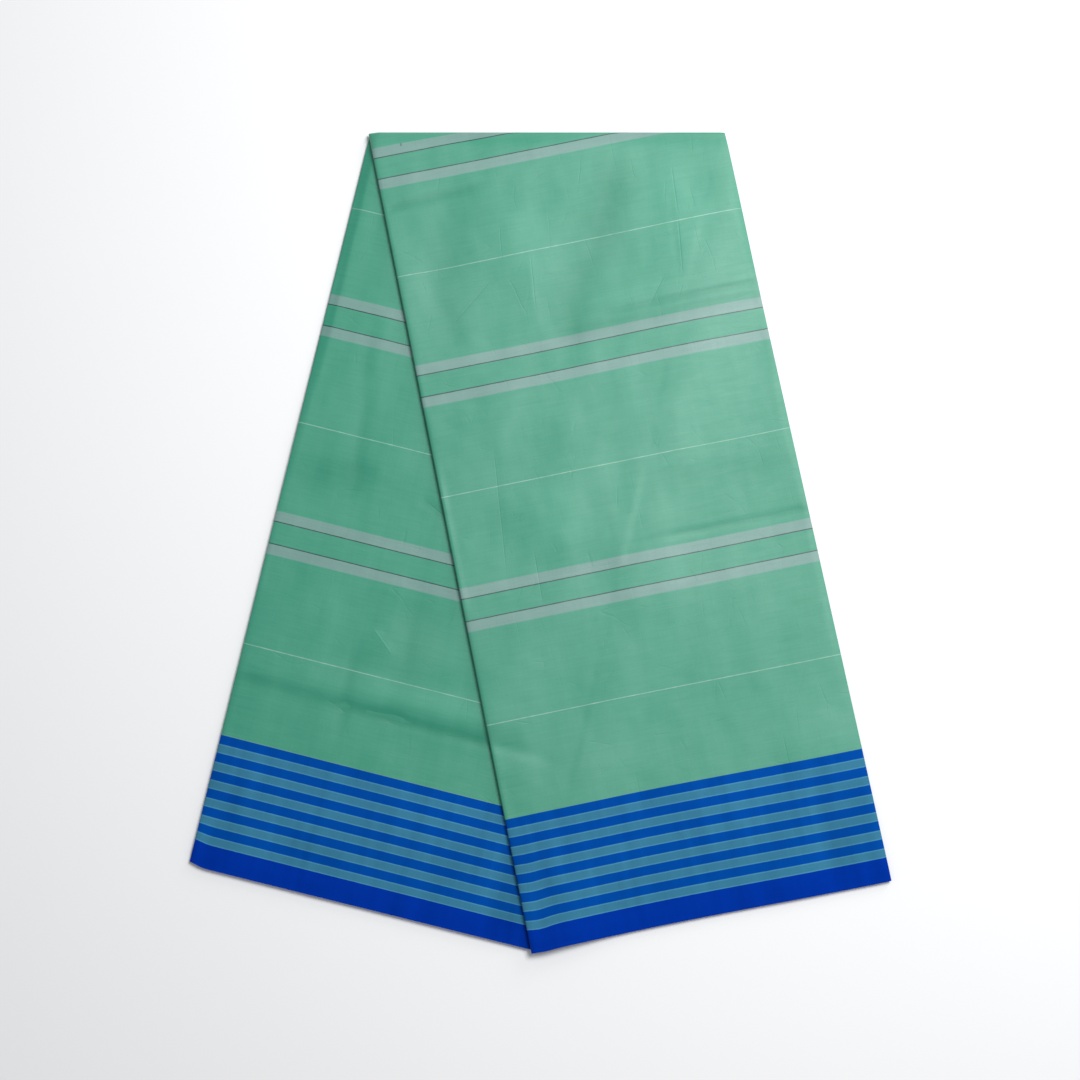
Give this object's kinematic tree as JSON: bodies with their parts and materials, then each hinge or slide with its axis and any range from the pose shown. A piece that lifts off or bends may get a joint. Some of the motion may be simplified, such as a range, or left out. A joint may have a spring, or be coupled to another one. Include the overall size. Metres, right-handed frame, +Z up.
{
  "type": "folded longyi sarong",
  "caption": "Flat-folded cotton longyi sarong, turned over at a slanted top fold so its two striped border ends fan apart.",
  "frame": {"origin": "middle of the footprint, on the surface that the folded cloth lies on", "axes": "+Z up, +Y towards the top fold and away from the hems, +X to the right, towards the front strip's hem"},
  "size_m": [0.5244, 0.6354, 0.0091],
  "materials": {
    "green_cotton": "smooth woven cotton with a faint sheen, and pale and dark stripes woven parallel to the hems",
    "blue_border": "smooth woven cotton with twelve even blue and teal stripes, and plain deep blue at the hem"
  },
  "bodies": {
    "root": {"front_layer": "green_cotton", "front_border": "blue_border", "front_folds": "green_cotton", "front_border_folds": "blue_border", "back_layer": "green_cotton", "back_border": "blue_border", "back_folds": "green_cotton", "back_border_folds": "blue_border", "top_fold": "green_cotton"}
  },
  "joints": []
}
